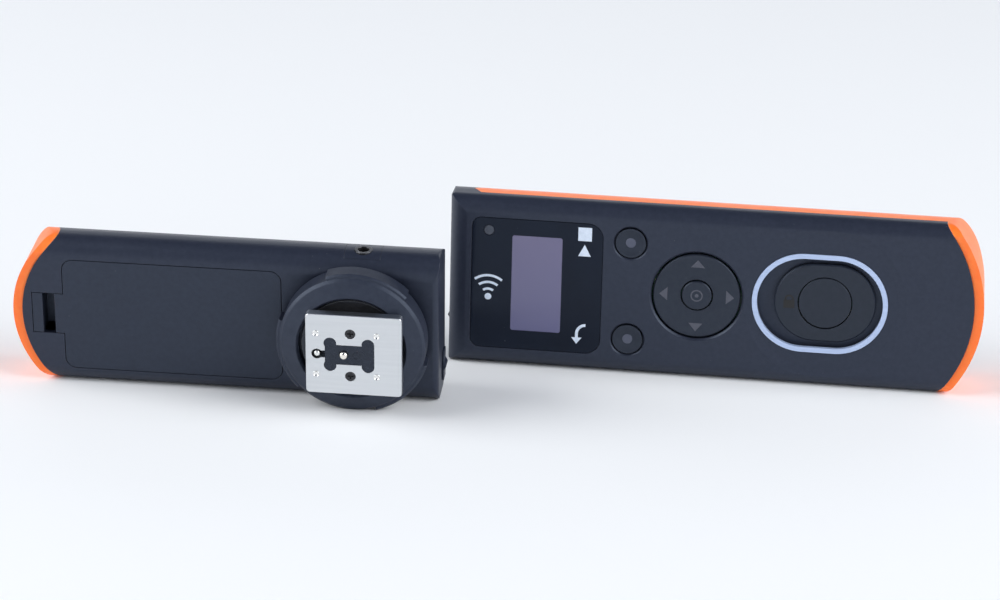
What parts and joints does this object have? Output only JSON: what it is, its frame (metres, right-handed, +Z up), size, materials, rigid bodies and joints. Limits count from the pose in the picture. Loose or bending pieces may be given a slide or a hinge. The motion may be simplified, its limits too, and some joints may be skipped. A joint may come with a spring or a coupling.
{
  "type": "wireless trigger set",
  "caption": "Hand-held radio transmitter with display, keys and a two-stage release, and a shoe-mounted receiver with a locking foot and a cable socket.",
  "frame": {"origin": "middle of the set's footprint, on the surface that both units stand on", "axes": "+X along the units from the receiver to the transmitter's curved end, +Y away from the side that the keys and the foot face, +Z up across the units' width"},
  "size_m": [0.2072, 0.0584, 0.0385],
  "materials": {
    "shell": "fine satin moulded plastic",
    "orange": "satin orange plastic",
    "window": "high gloss",
    "pane": "polished, tinted",
    "display": "dark display glass",
    "key": "satin keys",
    "rubber": "matt",
    "ring": "satin pale grey blue",
    "steel": "nickel plated, fine brushed",
    "contact": "nickel plated, polished",
    "black_screw": "blackened",
    "clear": "clear plastic",
    "board": "solder mask",
    "component": "moulded component",
    "can": "tinned",
    "cell": "printed jacket"
  },
  "bodies": {
    "transmitter": {"tx_front_shell": "shell", "tx_rear_shell": "shell", "tx_band": "orange", "tx_window": "window", "tx_display_pane": "pane", "tx_display": "display", "tx_light_pipe": "clear", "tx_led": "clear", "tx_release_ring": "ring", "tx_release_leaves": "contact", "tx_board": "board", "tx_tact_switches": "component", "tx_radio_module": "can", "tx_antenna": "contact", "tx_power_switch_body": "component", "tx_cell_tray": "shell", "tx_cell_1": "cell", "tx_cell_2": "cell", "tx_contact_springs": "contact", "tx_contact_plates": "contact", "tx_screws": "black_screw"},
    "receiver": {"rx_front_shell": "shell", "rx_rear_shell": "shell", "rx_band": "orange", "rx_cell_tray": "shell", "rx_cell_1": "cell", "rx_cell_2": "cell", "rx_contact_springs": "contact", "rx_contact_plates": "contact", "rx_board": "board", "rx_radio_module": "can", "rx_antenna": "contact", "rx_light_pipe": "clear", "rx_led": "clear", "rx_tact_switch": "component", "rx_power_switch_body": "component", "rx_jack": "component", "rx_jack_panel": "shell", "rx_foot_base": "shell", "rx_foot_plate": "steel", "rx_foot_rivets": "steel", "rx_foot_screws": "black_screw", "rx_foot_insert": "shell", "rx_screws": "black_screw"},
    "play_key": {"tx_key_play": "key"},
    "back_key": {"tx_key_back": "key"},
    "direction_rocker": {"tx_dpad_rubber": "rubber"},
    "direction_ring": {"tx_dpad_ring": "key"},
    "set_key": {"tx_set_key": "key"},
    "hold_slider": {"tx_hold_slider": "key"},
    "release_button": {"tx_release_button": "key"},
    "tx_power_slide": {"tx_power_knob": "key"},
    "tx_door": {"tx_battery_door": "shell"},
    "rx_door": {"rx_battery_door": "shell"},
    "pressure_washer": {"rx_pressure_washer": "shell", "rx_lock_pin": "contact"},
    "lock_wheel": {"rx_lock_wheel": "shell"},
    "centre_contact": {"rx_centre_contact": "contact"},
    "rx_power_slide": {"rx_power_knob": "key"},
    "pair_key": {"rx_pair_key": "key"}
  },
  "joints": [
    {"name": "receiver_apart", "type": "slide", "parent": "transmitter", "child": "receiver", "axis": [-1, 0, 0], "range_m": [0, 0.15]},
    {"name": "play_key_press", "type": "slide", "parent": "transmitter", "child": "play_key", "axis": [0, 1, 0], "range_m": [0, 0.0005], "stiffness_N_per_m": 800},
    {"name": "back_key_press", "type": "slide", "parent": "transmitter", "child": "back_key", "axis": [0, 1, 0], "range_m": [0, 0.0005], "stiffness_N_per_m": 800},
    {"name": "direction_rock_up_down", "type": "hinge", "parent": "transmitter", "child": "direction_rocker", "pos_m": [0.04143, 0.01351, 0.01925], "axis": [1, 0, 0], "range_deg": [-3, 3], "stiffness_Nm_per_rad": 0.6},
    {"name": "direction_rock_side", "type": "hinge", "parent": "direction_rocker", "child": "direction_ring", "pos_m": [0.04143, 0.01351, 0.01925], "axis": [0, 0, 1], "range_deg": [-3, 3], "stiffness_Nm_per_rad": 0.6},
    {"name": "set_key_press", "type": "slide", "parent": "transmitter", "child": "set_key", "axis": [0, 1, 0], "range_m": [0, 0.0005], "stiffness_N_per_m": 800},
    {"name": "hold_slide", "type": "slide", "parent": "transmitter", "child": "hold_slider", "axis": [-1, 0, 0], "range_m": [0, 0.0025]},
    {"name": "release_press", "type": "slide", "parent": "hold_slider", "child": "release_button", "axis": [0, 1, 0], "range_m": [0, 0.0008], "stiffness_N_per_m": 900},
    {"name": "tx_power_switch", "type": "slide", "parent": "transmitter", "child": "tx_power_slide", "axis": [0, 0, 1], "range_m": [0, 0.002]},
    {"name": "tx_door_open", "type": "hinge", "parent": "transmitter", "child": "tx_door", "pos_m": [0.04448, 0.02916, 0.01925], "axis": [0, 0, 1], "range_deg": [0, 75]},
    {"name": "rx_door_open", "type": "hinge", "parent": "receiver", "child": "rx_door", "pos_m": [-0.0449, -0.01698, 0.01629], "axis": [0.0037, -0.1309, 0.9914], "range_deg": [0, 75]},
    {"name": "washer_advance", "type": "slide", "parent": "receiver", "child": "pressure_washer", "axis": [0.0277, -0.991, -0.131], "range_m": [0, 0.00111]},
    {"name": "wheel_turn", "type": "hinge", "parent": "pressure_washer", "child": "lock_wheel", "pos_m": [-0.02862, -0.02149, 0.01564], "axis": [0.0277, -0.991, -0.131], "range_deg": [0, 400]},
    {"name": "centre_contact_press", "type": "slide", "parent": "receiver", "child": "centre_contact", "axis": [-0.0277, 0.991, 0.131], "range_m": [0, 0.0007], "stiffness_N_per_m": 900},
    {"name": "rx_power_switch", "type": "slide", "parent": "receiver", "child": "rx_power_slide", "axis": [0.0037, -0.1309, 0.9914], "range_m": [0, 0.002]},
    {"name": "pair_key_press", "type": "slide", "parent": "receiver", "child": "pair_key", "axis": [0.0277, -0.991, -0.131], "range_m": [0, 0.0005], "stiffness_N_per_m": 800}
  ],
  "couplings": [
    {"joint": "wheel_turn", "follows": "washer_advance", "rad_per_m": 6283.2}
  ]
}
